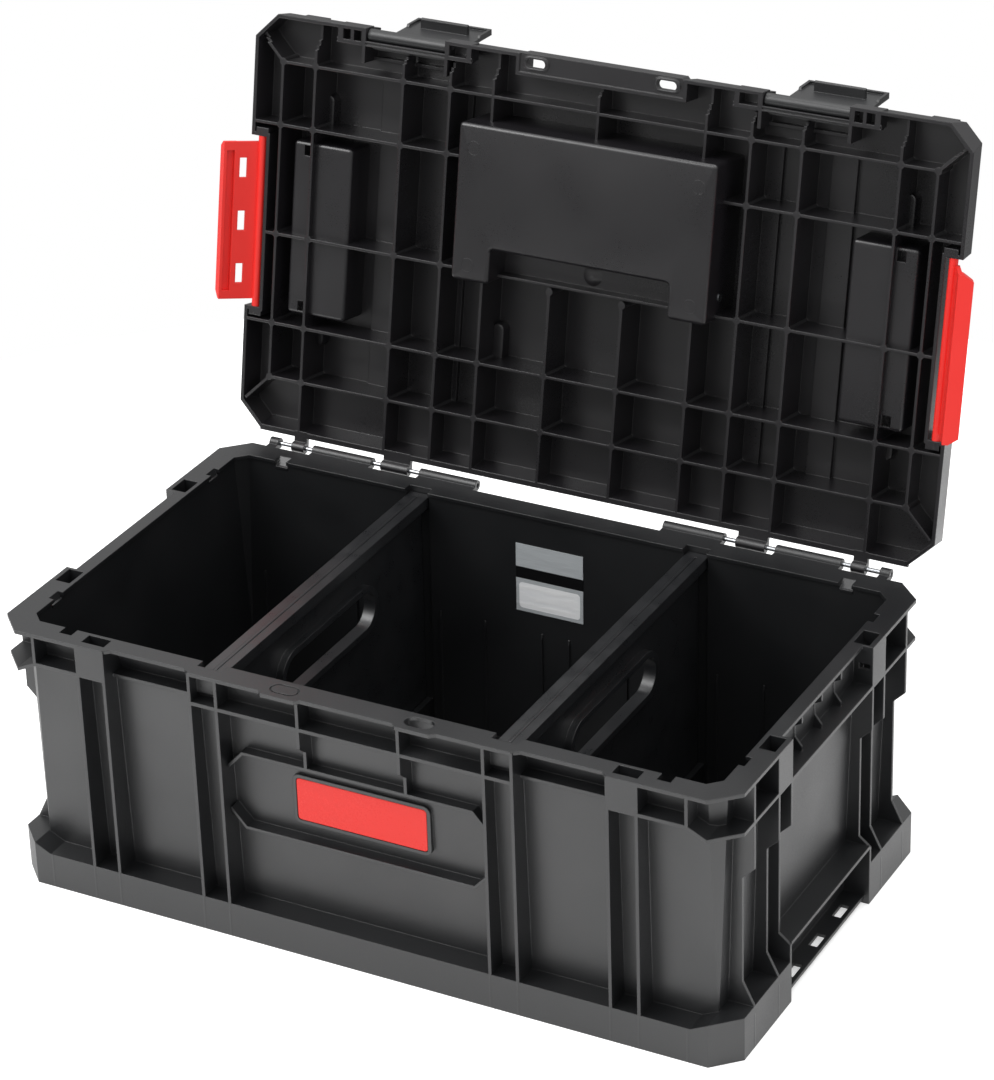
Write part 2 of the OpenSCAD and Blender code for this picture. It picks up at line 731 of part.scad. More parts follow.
module rib_grid(t, h) {
    for (x = long_rib) two() box(x - t, x + t, lid_front, lid_back, lid_z, lid_z + h);
    two() box(edge_rib_x - t, edge_rib_x + t, edge_rib_y0, edge_rib_y1, lid_z, lid_z + h);
    two() box(leg_rib_x - t, leg_rib_x + t, leg_y, lid_back, lid_z, lid_z + h);
    two() box(leg_rib_x - t, leg_rib_x + t, lid_front, well_y1, lid_z, lid_z + h);
    two() box(slab_rib_x - t, slab_rib_x + t, leg_y - 1, lid_back, lid_z, lid_z + h);
    box(-t, t, lid_front, well_y1, lid_z, lid_z + h);
    for (y = [edge_rib_y0, edge_rib_y1]) box(-edge_rib_x, edge_rib_x, y - t, y + t, lid_z, lid_z + h);
    for (y = cross_rib) box(-lid_half, lid_half, y - t, y + t, lid_z, lid_z + h);
    two() corner_rib(edge_rib_y1, 1);
    two() corner_rib(edge_rib_y0, -1);
    // round nodes where ribs cross
    for (x = concat(long_rib, [edge_rib_x])) for (y = concat(cross_rib, [edge_rib_y0, edge_rib_y1]))
        two() rib_node(x, y, h);
    for (x = [slab_rib_x, leg_rib_x]) for (y = [edge_rib_y1, cross_rib[0], leg_y + 2]) two() rib_node(x, y, h);
}

leg_rib_x = well_half - 15.5;
slab_rib_x = leg_in - 40.5;

module rib_node(x, y, h) {
    translate([x, y, lid_z]) cylinder(r = 2.6, h = h, $fn = 16);
}

module corner_rib(y, s) {
    translate([edge_rib_x, y, lid_z]) rotate([0, 0, 45 * s])
        translate([0, -lid_rib_t / 2, 0]) cube([26, lid_rib_t, lid_h]);
}

// Half-round bead under the skin: it starts at a cross rib and has a round end
module bead(x, y, l) {
    translate([x, y, lid_z + lid_h - wall - 3]) {
        rotate([l > 0 ? -90 : 90, 0, 0]) cylinder(r = bead_r, h = abs(l));
        translate([0, l, 0]) sphere(r = bead_r);
    }
}

bead_r = 5;

// Body of the handle well, drawn in by i
module well_plan(i) {
    translate([-well_half + i, well_y1 + i]) square([2 * (well_half - i), well_y0 - well_y1 - 2 * i]);
    two() translate([leg_in + i, well_y1 + i]) square([well_half - leg_in - 2 * i, leg_y - well_y1 - 2 * i]);
}

module side_well_plan(i) {
    two() translate([side_well_a + i, lid_mid - side_well_len / 2 + i])
        square([side_well_b - side_well_a - 2 * i, side_well_len - 2 * i]);
}

// Square blind pockets in the undersides of the side wells, drawn out by i
module well_pockets(i, z0, z1) {
    x = lid_half - 43.2;
    two() for (y = [lid_mid - 55, lid_mid + 55])
        box(x - 3.3 - i, x + 3.3 + i, y - 3.8 - i, y + 3.8 + i, z0, z1);
}

module latch_bosses() {
    a = latch_x - bay_half - boss_in;
    b = latch_x + bay_half + boss_out;
    two() {
        box(a, latch_x - bay_half, lid_front, lid_front + 11.8, lid_z, lid_z + 11);
        box(latch_x + bay_half, b, lid_front, lid_front + 11.8, lid_z, lid_z + 11);
        // thin bar from boss to boss across the open bay, and the hood above it
        difference() {
            along_x(a - 0.8, b + 0.8) polygon([[lid_front + 8.9, lid_z], [lid_front + 12.4, lid_z],
                [lid_front + 12.4, lid_z + 5], [lid_front + 10.3, lid_z + 5], [lid_front + 8.9, lid_z + 2.6]]);
            box(a - 2, b + 2, lid_front + 10, lid_front + 11.3, lid_z - 1, lid_z + 1);
        }
        box(latch_x - bay_half - 1, latch_x + bay_half + 1, lid_front + 14, wall_back_y + 1,
            lid_z + lid_edge_h - wall, lid_z + lid_edge_h);
    }
}

// Windows in the undersides of the bosses, two in each outer one
module boss_windows() {
    a = latch_x - bay_half - boss_in + 3.6;
    b = latch_x + bay_half + 3.4;
    w = (boss_out - 3.4 - 4 - 2.4) / 2;
    two() for (x = [[a, a + boss_in - 7], [b, b + w], [b + w + 2.4, b + 2 * w + 2.4]])
        box(x[0], x[1], lid_front + 2.4, lid_front + 9.6, lid_z - 1, lid_z + 9);
}

// Strip with the two padlock holes, open behind its upright lip
module padlock_strip() {
    difference() {
        union() {
            box(-strip_half, strip_half, lid_front - 0.4, lid_front + strip_in + 1, lid_z + 0.8, lid_z + 11);
            for (x = [-padlock_x, padlock_x]) translate([x, hole_y, lid_z])
                linear_extrude(height = 2) stadium(19.5, 9.6);
        }
        box(-strip_half + 3, strip_half - 3, lid_front + 2, lid_front + strip_in, lid_z + 4, lid_z + 12);
        // rounded ends of the strip
        two() translate([strip_half, lid_front - 0.4, lid_z - 1]) rotate([0, 0, 45])
            cube([3, 3, 26], center = true);
        for (x = [-padlock_x, padlock_x]) translate([x, hole_y, lid_z - 1])
            linear_extrude(height = 7) stadium(14, 6);
    }
}

module lid_hinge_arms() {
    two() for (k = lid_knuckles) {
        translate([0, hinge_y, hinge_z]) rod(knuckle_r, k[0], k[1]);
        box(k[0], k[1], lid_back - 3, hinge_y, lid_z, hinge_z + knuckle_r + 0.3);
    }
}

module lid_body() {
    difference() {
        union() {
            lid_shell();
            lid_ribs();
            plate(lid_z - well_drop, lid_z + lid_h - 1) well_plan(0);
            plate(lid_z + side_well_z, lid_z + lid_h - 1) side_well_plan(0);
            // plane between the well's legs, with a shallow dome
            box(-leg_in - 1, leg_in + 1, well_y0 - 1, leg_y, lid_z + 10, lid_z + 10 + wall);
            intersection() {
                translate([0, leg_y - 12, lid_z + 22.1]) sphere(r = 14);
                plate(lid_z + 7, lid_z + 10.5) translate([-10, leg_y - 22]) square(20);
            }
            // lip along the hinged edge
            box(-lid_half + corner_cut, lid_half - corner_cut, lid_back - 1, lid_back + 1.4,
                lid_z, lid_z + 2.4);
            latch_bosses();
            lid_hinge_arms();
            padlock_strip();
            two() {
                bead(long_rib[2] + 0.3, cross_rib[2], -17);
                bead(long_rib[2] + 0.3, cross_rib[0], 12);
                bead(leg_rib_x - 4, cross_rib[0], -20);
            }
            // raised pads on the four corners of the border
            two() for (y = [lid_front + 4, lid_back - 12])
                box(lid_half - 40.5, lid_half - 22.5, y, y + 8, lid_z + lid_edge_h - 1, lid_z + lid_h);
            // ends of the clip notches that hold the clips' stubs
            for (x = [-1, 1]) for (y = [-1, 1])
                translate([x * (clip_axis_x - 1.2) - 4.8, lid_mid + y * (clip_notch_half + 3) - 3, lid_z])
                    cube([9.6, 6, lid_edge_h - 1]);
        }
        for (x = groove_at) two() box(x, x + groove_len, lid_front, lid_back,
            lid_z + lid_h - groove_d, lid_z + lid_h + 1);
        plate(lid_z - well_drop + wall, lid_z + lid_h + 1) well_plan(wall);
        difference() {
            plate(lid_z + side_well_z + wall, lid_z + lid_h + 1) side_well_plan(wall);
            well_pockets(2, lid_z, lid_z + side_well_z + 8);
        }
        boss_windows();
        well_pockets(0, lid_z + side_well_z - 1, lid_z + side_well_z + 6);
        two() translate([0, hinge_y, hinge_z])
            rod(hinge_pin_r + fit, lid_knuckles[0][0] - 1, lid_knuckles[1][1] + 1);
        two() translate([0, latch_axis_y, latch_axis_z])
            rod(latch_pin_r + fit, latch_x - bay_half - pin_bite - 0.7, latch_x + bay_half + pin_bite + 0.5);
        two() translate([0, handle_y, handle_z]) rod(handle_pin_r + fit, leg_in - 1, well_half + 4);
        // bores for the clips' stubs
        for (x = [-1, 1]) translate([x * clip_axis_x, lid_mid, clip_axis_z]) rotate([90, 0, 0])
            cylinder(r = clip_rod_r + fit, h = clip_len + 2 * clip_stub + 0.6, center = true);
    }
}

// Moves a piece from the closed lid to the open one
module open_lid() {
    translate([0, hinge_y, hinge_z]) rotate([-open_angle, 0, 0]) translate([0, -hinge_y, -hinge_z]) children();
}

module lid() {
    color(black) open_lid() lid_body();
}

module hinge_pin(side) {
    color(steel) mirror([side, 0, 0]) translate([0, hinge_y, hinge_z])
        rod(hinge_pin_r, hinge_tubes[0][0] + 1, hinge_tubes[2][1] - 0.5);
}

// A latch in its latched position: the axis at the origin, the plate hanging towards -Z in front
module latch_shape() {
    h = latch_w / 2;
    root = latch_axis_z - body_h - gap;
    difference() {
        union() {
            rod(barrel_r, -bay_half + gap, bay_half - gap);
            along_x(-h, h) polygon([[-2, 0], [-latch_off - latch_t, 0], [-latch_off - latch_t, -latch_len],
                [-latch_off, -latch_len], [-latch_off, -root], [-2, -root]]);
            // raised lip across the middle
            along_x(-18, 18) polygon([[-latch_off - 1, -lip_at + 2.2], [-latch_off + 6.4, -lip_at + 1.4],
                [-latch_off + 7.2, -lip_at], [-latch_off + 6.4, -lip_at - 1], [-latch_off - 1, -lip_at - 1.6]]);
            // rolled side edges
            for (x = [-h, h - 2]) along_x(x, x + 2)
                polygon([[-latch_off + 1.6, -latch_len + 16], [-latch_off - 1, -latch_len + 18],
                    [-latch_off - 1, -latch_len], [-latch_off + 1.6, -latch_len]]);
            along_x(-h, h) polygon([[-latch_off + 1.6, -latch_len + 2], [-latch_off - 1, -latch_len + 2],
                [-latch_off - 1, -latch_len], [-latch_off + 1.6, -latch_len]]);
        }
        rod(latch_pin_r + fit, -bay_half - 1, bay_half + 1);
    }
}

module front_latch(side) {
    color(black) open_lid() translate([side * latch_x, latch_axis_y, latch_axis_z])
        rotate([-latch_back, 0, 0]) latch_shape();
}

module latch_pin(side) {
    color(steel) open_lid() mirror([side, 0, 0]) translate([0, latch_axis_y, latch_axis_z])
        rod(latch_pin_r, latch_x - bay_half - pin_bite, latch_x + bay_half + pin_bite);
}

// A clip with its axis along Y at the origin and its plate towards +X
module clip_shape() {
    h = clip_len / 2;
    top = clip_off + clip_plate_t;
    bar = clip_off + clip_bar_t;
    difference() {
        union() {
            rotate([90, 0, 0]) cylinder(r = clip_rod_r, h = clip_len + 2 * clip_stub, center = true);
            box(0, clip_reach, -h, h, clip_off, top);
            along_y(-h, h)
                polygon([[clip_reach - clip_bar_w, clip_off], [clip_reach, clip_off], [clip_reach, bar],
                [clip_reach - clip_bar_w + 1, bar], [clip_reach - clip_bar_w, bar - 1]]);
        }
        for (j = [-1:1]) box(clip_reach - 16.8, clip_reach - 11.4, j * slot_pitch - 7.1, j * slot_pitch + 7.1,
            clip_off - 1, top + 1);
        // hollow along the outer bar
        box(clip_reach - clip_bar_w + 1.2, clip_reach - 2.2, -h + 6, h - 6, clip_off - 1, clip_off + 4);
        // slanted ends of the bar
        for (s = [-1, 1]) translate([clip_reach, s * h, bar]) cut_end(s);
    }
}

module cut_end(s) {
    along_x(-clip_bar_w - 1, 1) polygon([[s, 1], [-s * 5, 1], [s, -8]]);
}

module side_clip_right() {
    color(red) open_lid() translate([clip_axis_x, lid_mid, clip_axis_z])
        rotate([0, clip_right_drop, 0]) clip_shape();
}

module side_clip_left() {
    color(red) open_lid() mirror([1, 0, 0]) translate([clip_axis_x, lid_mid, clip_axis_z])
        rotate([0, clip_left_drop, 0]) clip_shape();
}

module carry_handle() {
    color(black) open_lid() difference() {
        union() {
            two() {
                translate([0, handle_y, handle_z]) rod(8, arm_x - arm_w / 2, arm_x + arm_w / 2);
                along_x(arm_x - arm_w / 2, arm_x + arm_w / 2)
                    polygon([[handle_y, handle_z - 5], [handle_y, handle_z + 7],
                        [grip_y + grip_side + 1, handle_z + 8],
                        [grip_y + core / 2 + 1.5, grip_z + core / 2 + 2],
                        [grip_y - core / 2 - 1.5, grip_z + core / 2 + 2],
                        [grip_y - core / 2 - 1.5, grip_z - core / 2 - 2],
                        [grip_y + grip_side / 2 - 0.5, handle_z - 3]]);
            }
            box(-arm_x, arm_x, grip_y - core / 2, grip_y + core / 2, grip_z - core / 2, grip_z + core / 2);
        }
        two() translate([0, handle_y, handle_z]) rod(handle_pin_r + fit, arm_x - arm_w, arm_x + arm_w);
    }
}

module handle_grip() {
    end = arm_x - arm_w / 2 - 1;
    color(dark) open_lid() difference() {
        translate([0, grip_y, grip_z]) rotate([0, 90, 0]) linear_extrude(height = 2 * end, center = true)
            oct2d(grip_side, grip_side, 5);
        box(-end - 1, end + 1, grip_y - core / 2, grip_y + core / 2, grip_z - core / 2, grip_z + core / 2);
    }
}

module handle_pin(side) {
    color(steel) open_lid() mirror([side, 0, 0]) translate([0, handle_y, handle_z])
        rod(handle_pin_r, leg_in - 0.5, well_half + 1.6);
}

// A divider in its own place, side -1 left or 1 right
module divider(side) {
    y0 = in_y + groove_out - gap - lean(divider_z0);
    y1 = in_y + groove_out - gap - lean(body_h - pocket_h);
    bar_y = pocket_y - gap;
    bar_z = divider_z1 - 4;
    t = divider_t / 2;
    color(black) translate([side * divider_x, 0, 0]) difference() {
        union() {
            along_x(-t, t)
                polygon([[-y0, divider_z0], [y0, divider_z0], [y1, body_h - pocket_h], [y1, bar_z + 1],
                [-y1, bar_z + 1], [-y1, body_h - pocket_h]]);
            box(-divider_bar_w / 2, divider_bar_w / 2, -bar_y, bar_y, bar_z, divider_z1);
            // turned-down edges of the bar, ending in the pockets
            for (x = [-divider_bar_w / 2, divider_bar_w / 2 - 2])
                box(x, x + 2, -bar_y, bar_y, bar_z - 4, bar_z + 1);
            // collar round the hand slot
            translate([-2.3, 0, slot_z]) rotate([90, 0, 90]) linear_extrude(height = 8.8)
                stadium(slot_len + 9, slot_h + 9);
        }
        translate([-4, 0, slot_z]) rotate([90, 0, 90]) linear_extrude(height = 12) stadium(slot_len, slot_h);
        // shallow groove along the top of the bar
        box(-1.2, 1.2, -bar_y + 6, bar_y - 6, divider_z1 - 0.8, divider_z1 + 1);
    }
}

module badge_plate() {
    color(red) along_y(-badge_face, -badge_face + badge_t) badge_outline(0);
}

// Foil label lying on the leaning inner face of the back wall
module inside_label() {
    tilt = atan(wall_lean / (body_h - floor_z));
    color(silver) translate([label_x, in_y - lean(label_z), label_z]) rotate([-tilt, 0, 0])
        box(-label_side / 2, label_side / 2, -0.4, 0, -label_side / 2, label_side / 2);
}

tub();
lid();
divider(-1);  // divider_left
divider(1);  // divider_right
front_latch(-1);  // front_latch_left
front_latch(1);  // front_latch_right
latch_pin(1);  // latch_pin_left
latch_pin(0);  // latch_pin_right
side_clip_left();
side_clip_right();
hinge_pin(1);  // hinge_pin_left
hinge_pin(0);  // hinge_pin_right
carry_handle();
handle_grip();
handle_pin(1);  // handle_pin_left
handle_pin(0);  // handle_pin_right
badge_plate();
inside_label();
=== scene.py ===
import functools
import json
import math

import bmesh
import bpy
from mathutils import Matrix, Vector


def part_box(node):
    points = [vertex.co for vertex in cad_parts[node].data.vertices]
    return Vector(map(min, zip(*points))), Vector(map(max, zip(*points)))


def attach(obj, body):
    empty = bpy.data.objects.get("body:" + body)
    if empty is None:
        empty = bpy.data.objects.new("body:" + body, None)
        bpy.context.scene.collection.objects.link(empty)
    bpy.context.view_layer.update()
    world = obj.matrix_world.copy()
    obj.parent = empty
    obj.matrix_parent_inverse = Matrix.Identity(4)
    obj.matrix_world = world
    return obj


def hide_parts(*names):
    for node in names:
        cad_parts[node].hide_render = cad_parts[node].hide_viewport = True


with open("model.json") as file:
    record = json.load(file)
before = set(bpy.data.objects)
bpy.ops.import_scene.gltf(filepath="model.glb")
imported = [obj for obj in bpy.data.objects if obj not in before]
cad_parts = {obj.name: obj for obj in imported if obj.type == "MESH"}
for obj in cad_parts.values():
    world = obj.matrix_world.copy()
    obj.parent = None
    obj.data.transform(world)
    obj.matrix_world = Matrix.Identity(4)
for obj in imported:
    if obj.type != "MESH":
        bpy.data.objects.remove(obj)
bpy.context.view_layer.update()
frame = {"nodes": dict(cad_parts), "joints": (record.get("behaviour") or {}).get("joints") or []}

MM = 0.001

# Places on the closed lid, in millimetres, as the case's drawing has them. The word "at" stands for a
# distance from the lid's back edge, and a rise is measured down out of its underside.
LID_BACK = 148.6  # back edge
LID_UNDER = 192.4  # underside
LID_DEPTH = 293.4
SKIN = 28.9  # height of the raised top's inner face above the underside

# Handle well: rise of its face, half widths outside and between its legs, ends of its front, back and legs
WELL_RISE = 13.2
WELL_HALF = 93.5
WELL_LEG_HALF = 67.5
WELL_FRONT_AT = 243.3
WELL_BACK_AT = 162.0
WELL_LEGS_AT = 138.0

# Side wells: height of the face above the underside, sides, ends, and the two square pockets
SIDE_WELL_ABOVE = 5.5
SIDE_WELL_INNER = 186.0
SIDE_WELL_OUTER = 230.0
SIDE_WELL_BACK_AT = 86.7
SIDE_WELL_FRONT_AT = 206.7
POCKET_X = 219.3
POCKET_OFFSET = 55.0  # from the well's middle
POCKET_HALF_WIDE = 3.1
POCKET_HALF_LONG = 3.6

# Beads on the lid's skin: name, distance from the middle, where it leaves its rib, centre of its round end
BEADS = (("front", 214.8, 217.5, 234.5), ("rear", 214.8, 77.0, 65.0), ("inner", 74.0, 77.0, 97.0))
BEAD_HALF = 5.1
BEAD_TALL = 8.3
BEAD_ROLL = ((0.2, 4.3), (0.5, 1.0), (0.75, 0.5), (1.2, 0.15), (1.9, 0))  # inset, and depth below the face

# Soft grip of the carry handle, folded in its well
GRIP_SIDE = 21.0
GRIP_FRONT = 53.1  # its front face, from the lid's front edge
GRIP_TOP = 28.8  # its top, above the lid's underside
RING_WIRE = 0.85
RING_PROUD = 0.9  # how much wider than the sleeve the rings are outside

# Small rings moulded on the lid, and how far the middle of their wire is sunk in their face
EJECTOR_MARKS_AT = 188.0
EJECTOR_MARKS_SUNK = 0.12
PADLOCK_HOLES_AT = 287.7
PADLOCK_HOLES_APART = 96.0
PADLOCK_RIMS_SUNK = 0.65  # so far that they clear the tub's rim when the lid is shut

# The tub's plinth, the ribs behind it as distances from the middle, and the sink marks they draw outside
PLINTH_TALL = 25.0
RIBS_ACROSS = (95.4, 115.0, 179.7, 199.3, 232.5)
RIBS_ALONG = (81.2, 117.0)
SINK_HALF_WIDE = 1.3
SINK_DEEP = 0.35


def lid_opened():
    """The matrix that swings a piece drawn on the closed lid to the open one, worked out from the hinge."""
    hinge = next(joint for joint in frame["joints"] if joint["name"] == "lid_hinge")
    pivot = Vector(hinge["pos_m"])
    turn = Matrix.Rotation(math.radians(hinge["range_deg"][0]), 4, "X")
    return Matrix.Translation(pivot) @ turn @ Matrix.Translation(-pivot)


OPEN = lid_opened()


def on_lid(x, at, rise):
    """A point of the closed lid, in metres."""
    return Vector((x, LID_BACK - at, LID_UNDER - rise)) * MM


# Colour and node helpers


def linear(hex_code):
    """An sRGB hex colour as the linear RGBA that Blender's shaders take."""
    parts = [int(hex_code[i : i + 2], 16) / 255 for i in (1, 3, 5)]
    return [p / 12.92 if p <= 0.04045 else ((p + 0.055) / 1.055) ** 2.4 for p in parts] + [1.0]


def add_node(tree, kind, settings=None, inputs=None):
    """Adds a node. A setting is an attribute of the node; an input is a value, or a socket to link from."""
    made = tree.nodes.new(kind)
    for name, value in (settings or {}).items():
        setattr(made, name, value)
    for name, value in (inputs or {}).items():
        if isinstance(value, bpy.types.NodeSocket):
            tree.links.new(value, made.inputs[name])
        else:
            made.inputs[name].default_value = value
    return made


def new_material(name):
    """An empty node material, with its tree and its shader."""
    material = bpy.data.materials.new(name)
    material.use_nodes = True
    tree = material.node_tree
    tree.nodes.clear()
    shader = add_node(tree, "ShaderNodeBsdfPrincipled")
    add_node(tree, "ShaderNodeOutputMaterial", inputs={"Surface": shader.outputs["BSDF"]})
    return material, tree, shader


# Finishes


def sink_marks(tree, place):
    """1 in the middle of the faint lines that ribs behind the plinth draw on its outside, 0 off them."""
    axes = add_node(tree, "ShaderNodeSeparateXYZ", inputs={"Vector": place})
    nearest = None
    for axis, ribs in (("X", RIBS_ACROSS), ("Y", RIBS_ALONG)):
        out = add_node(tree, "ShaderNodeMath", {"operation": "ABSOLUTE"},
                       {0: axes.outputs[axis]}).outputs["Value"]
        for rib in ribs:
            off = add_node(tree, "ShaderNodeMath", {"operation": "SUBTRACT"},
                           {0: out, 1: rib * MM}).outputs["Value"]
            away = add_node(tree, "ShaderNodeMath", {"operation": "ABSOLUTE"}, {0: off}).outputs["Value"]
            if nearest is not None:
                away = add_node(tree, "ShaderNodeMath", {"operation": "MINIMUM"},
                                {0: nearest, 1: away}).outputs["Value"]
            nearest = away
    line = add_node(tree, "ShaderNodeMapRange", {"interpolation_type": "SMOOTHSTEP"},
                    {"Value": nearest, "From Min": 0.0, "From Max": SINK_HALF_WIDE * MM, "To Min": 1.0,
                     "To Max": 0.0})
    low = add_node(tree, "ShaderNodeMath", {"operation": "LESS_THAN"},
                   {0: axes.outputs["Z"], 1: PLINTH_TALL * MM})
    return add_node(tree, "ShaderNodeMath", {"operation": "MULTIPLY"},
                    {0: line.outputs["Result"], 1: low.outputs["Value"]}).outputs["Value"]


GLOSS_GRAIN = 0.05  # how far the grain moves a moulded plastic's roughness either way
GLOSS_FLOW = 0.04  # and how far its flow marks do


def moulded_plastic(name, dark, light, roughness, shine, edge_mm, grain_depth, grain_mm=0.9, flow_mm=60,
                    sinks=False):
    """Injection-moulded plastic: a fine spark-eroded grain, faint flow marks and softly rounded edges."""
    material, tree, shader = new_material(name)
    place = add_node(tree, "ShaderNodeTexCoord").outputs["Object"]
    # slow drift of tone and gloss where the melt flowed
    flow = add_node(tree, "ShaderNodeTexNoise", inputs={"Vector": place, "Scale": 1000 / flow_mm,
                                                        "Detail": 2.0, "Roughness": 0.45})
    tone = add_node(tree, "ShaderNodeMix", {"data_type": "RGBA"},
                    {0: flow.outputs["Fac"], 6: linear(dark), 7: linear(light)})
    tree.links.new(tone.outputs[2], shader.inputs["Base Color"])
    # grain of the mould's texture, drawn about twice as coarse as the real 0.4 mm so that it shows
    grain = add_node(tree, "ShaderNodeTexNoise", inputs={"Vector": place, "Scale": 1000 / grain_mm,
                                                         "Detail": 3.0, "Roughness": 0.6})
    gloss = add_node(tree, "ShaderNodeMapRange",
                     inputs={"Value": grain.outputs["Fac"], "From Min": 0.3, "From Max": 0.7,
                             "To Min": roughness - GLOSS_GRAIN, "To Max": roughness + GLOSS_GRAIN})
    patch = add_node(tree, "ShaderNodeMapRange",
                     inputs={"Value": flow.outputs["Fac"], "From Min": 0.35, "From Max": 0.65,
                             "To Min": -GLOSS_FLOW, "To Max": GLOSS_FLOW})
    both = add_node(tree, "ShaderNodeMath", {"operation": "ADD"},
                    {0: gloss.outputs["Result"], 1: patch.outputs["Result"]})
    tree.links.new(both.outputs["Value"], shader.inputs["Roughness"])
    rounded = add_node(tree, "ShaderNodeBevel", {"samples": 4}, {"Radius": edge_mm * MM})
    bump = add_node(tree, "ShaderNodeBump", inputs={"Strength": grain_depth, "Distance": 0.1 * MM,
                                                    "Height": grain.outputs["Fac"],
                                                    "Normal": rounded.outputs["Normal"]})
    if sinks:
        bump = add_node(tree, "ShaderNodeBump", inputs={"Strength": 0.6, "Distance": SINK_DEEP * MM,
                                                        "Height": sink_marks(tree, place),
                                                        "Normal": bump.outputs["Normal"]})
    tree.links.new(bump.outputs["Normal"], shader.inputs["Normal"])
    shader.inputs["IOR"].default_value = 1.49
    shader.inputs["Specular IOR Level"].default_value = shine
    return material


def drawn_steel(name):
    """Bright drawn steel wire: fine lines along its length and a slightly broken shine."""
    material, tree, shader = new_material(name)
    place = add_node(tree, "ShaderNodeTexCoord").outputs["Object"]
    # drawing lines along the pins, 50 mm long and 0.25 mm apart
    stretched = add_node(tree, "ShaderNodeMapping",
                         inputs={"Vector": place, "Scale": (1000 / 50, 1000 / 0.25, 1000 / 0.25)})
    lines = add_node(tree, "ShaderNodeTexNoise", inputs={"Vector": stretched.outputs["Vector"], "Scale": 1.0,
                                                         "Detail": 2.0})
    gloss = add_node(tree, "ShaderNodeMapRange", inputs={"Value": lines.outputs["Fac"], "To Min": 0.16,
                                                         "To Max": 0.34})
    tree.links.new(gloss.outputs["Result"], shader.inputs["Roughness"])
    bump = add_node(tree, "ShaderNodeBump", inputs={"Strength": 0.2, "Distance": 0.05 * MM,
                                                    "Height": lines.outputs["Fac"]})
    tree.links.new(bump.outputs["Normal"], shader.inputs["Normal"])
    shader.inputs["Base Color"].default_value = linear("#c9ccd0")
    shader.inputs["Metallic"].default_value = 1.0
    return material


def band(tree, value, low, high):
    """1 where value lies between low and high, else 0."""
    above = add_node(tree, "ShaderNodeMath", {"operation": "GREATER_THAN"}, {0: value, 1: low})
    below = add_node(tree, "ShaderNodeMath", {"operation": "LESS_THAN"}, {0: value, 1: high})
    return add_node(tree, "ShaderNodeMath", {"operation": "MULTIPLY"},
                    {0: above.outputs["Value"], 1: below.outputs["Value"]}).outputs["Value"]


def rounded_field(tree, place, centre, half_wide, half_tall, corner):
    """1 inside an upright rectangle with round corners, else 0: within a radius of its drawn-in rectangle."""
    none = (0, 0, 0)
    reach = (half_wide - corner, 1.0, half_tall - corner)  # the depth doesn't count, so it reaches a metre
    steps = (("SUBTRACT", centre), ("ABSOLUTE", none), ("SUBTRACT", reach), ("MAXIMUM", none))
    away = place
    for operation, other in steps:
        away = add_node(tree, "ShaderNodeVectorMath", {"operation": operation},
                        {0: away, 1: other}).outputs["Vector"]
    distance = add_node(tree, "ShaderNodeVectorMath", {"operation": "LENGTH"}, {0: away})
    return add_node(tree, "ShaderNodeMath", {"operation": "LESS_THAN"},
                    {0: distance.outputs["Value"], 1: corner}).outputs["Value"]


# Parts of the label, as shares of its height from its lower edge, or of its width
STRIPE_LOW = 0.49
STRIPE_HIGH = 0.66
FIELD_MIDDLE = 0.24
FIELD_HALF_TALL = 0.19
FIELD_HALF_WIDE = 0.455
FIELD_CORNER = 0.05
FOIL_METAL = 0.2  # how metallic the bare foil looks


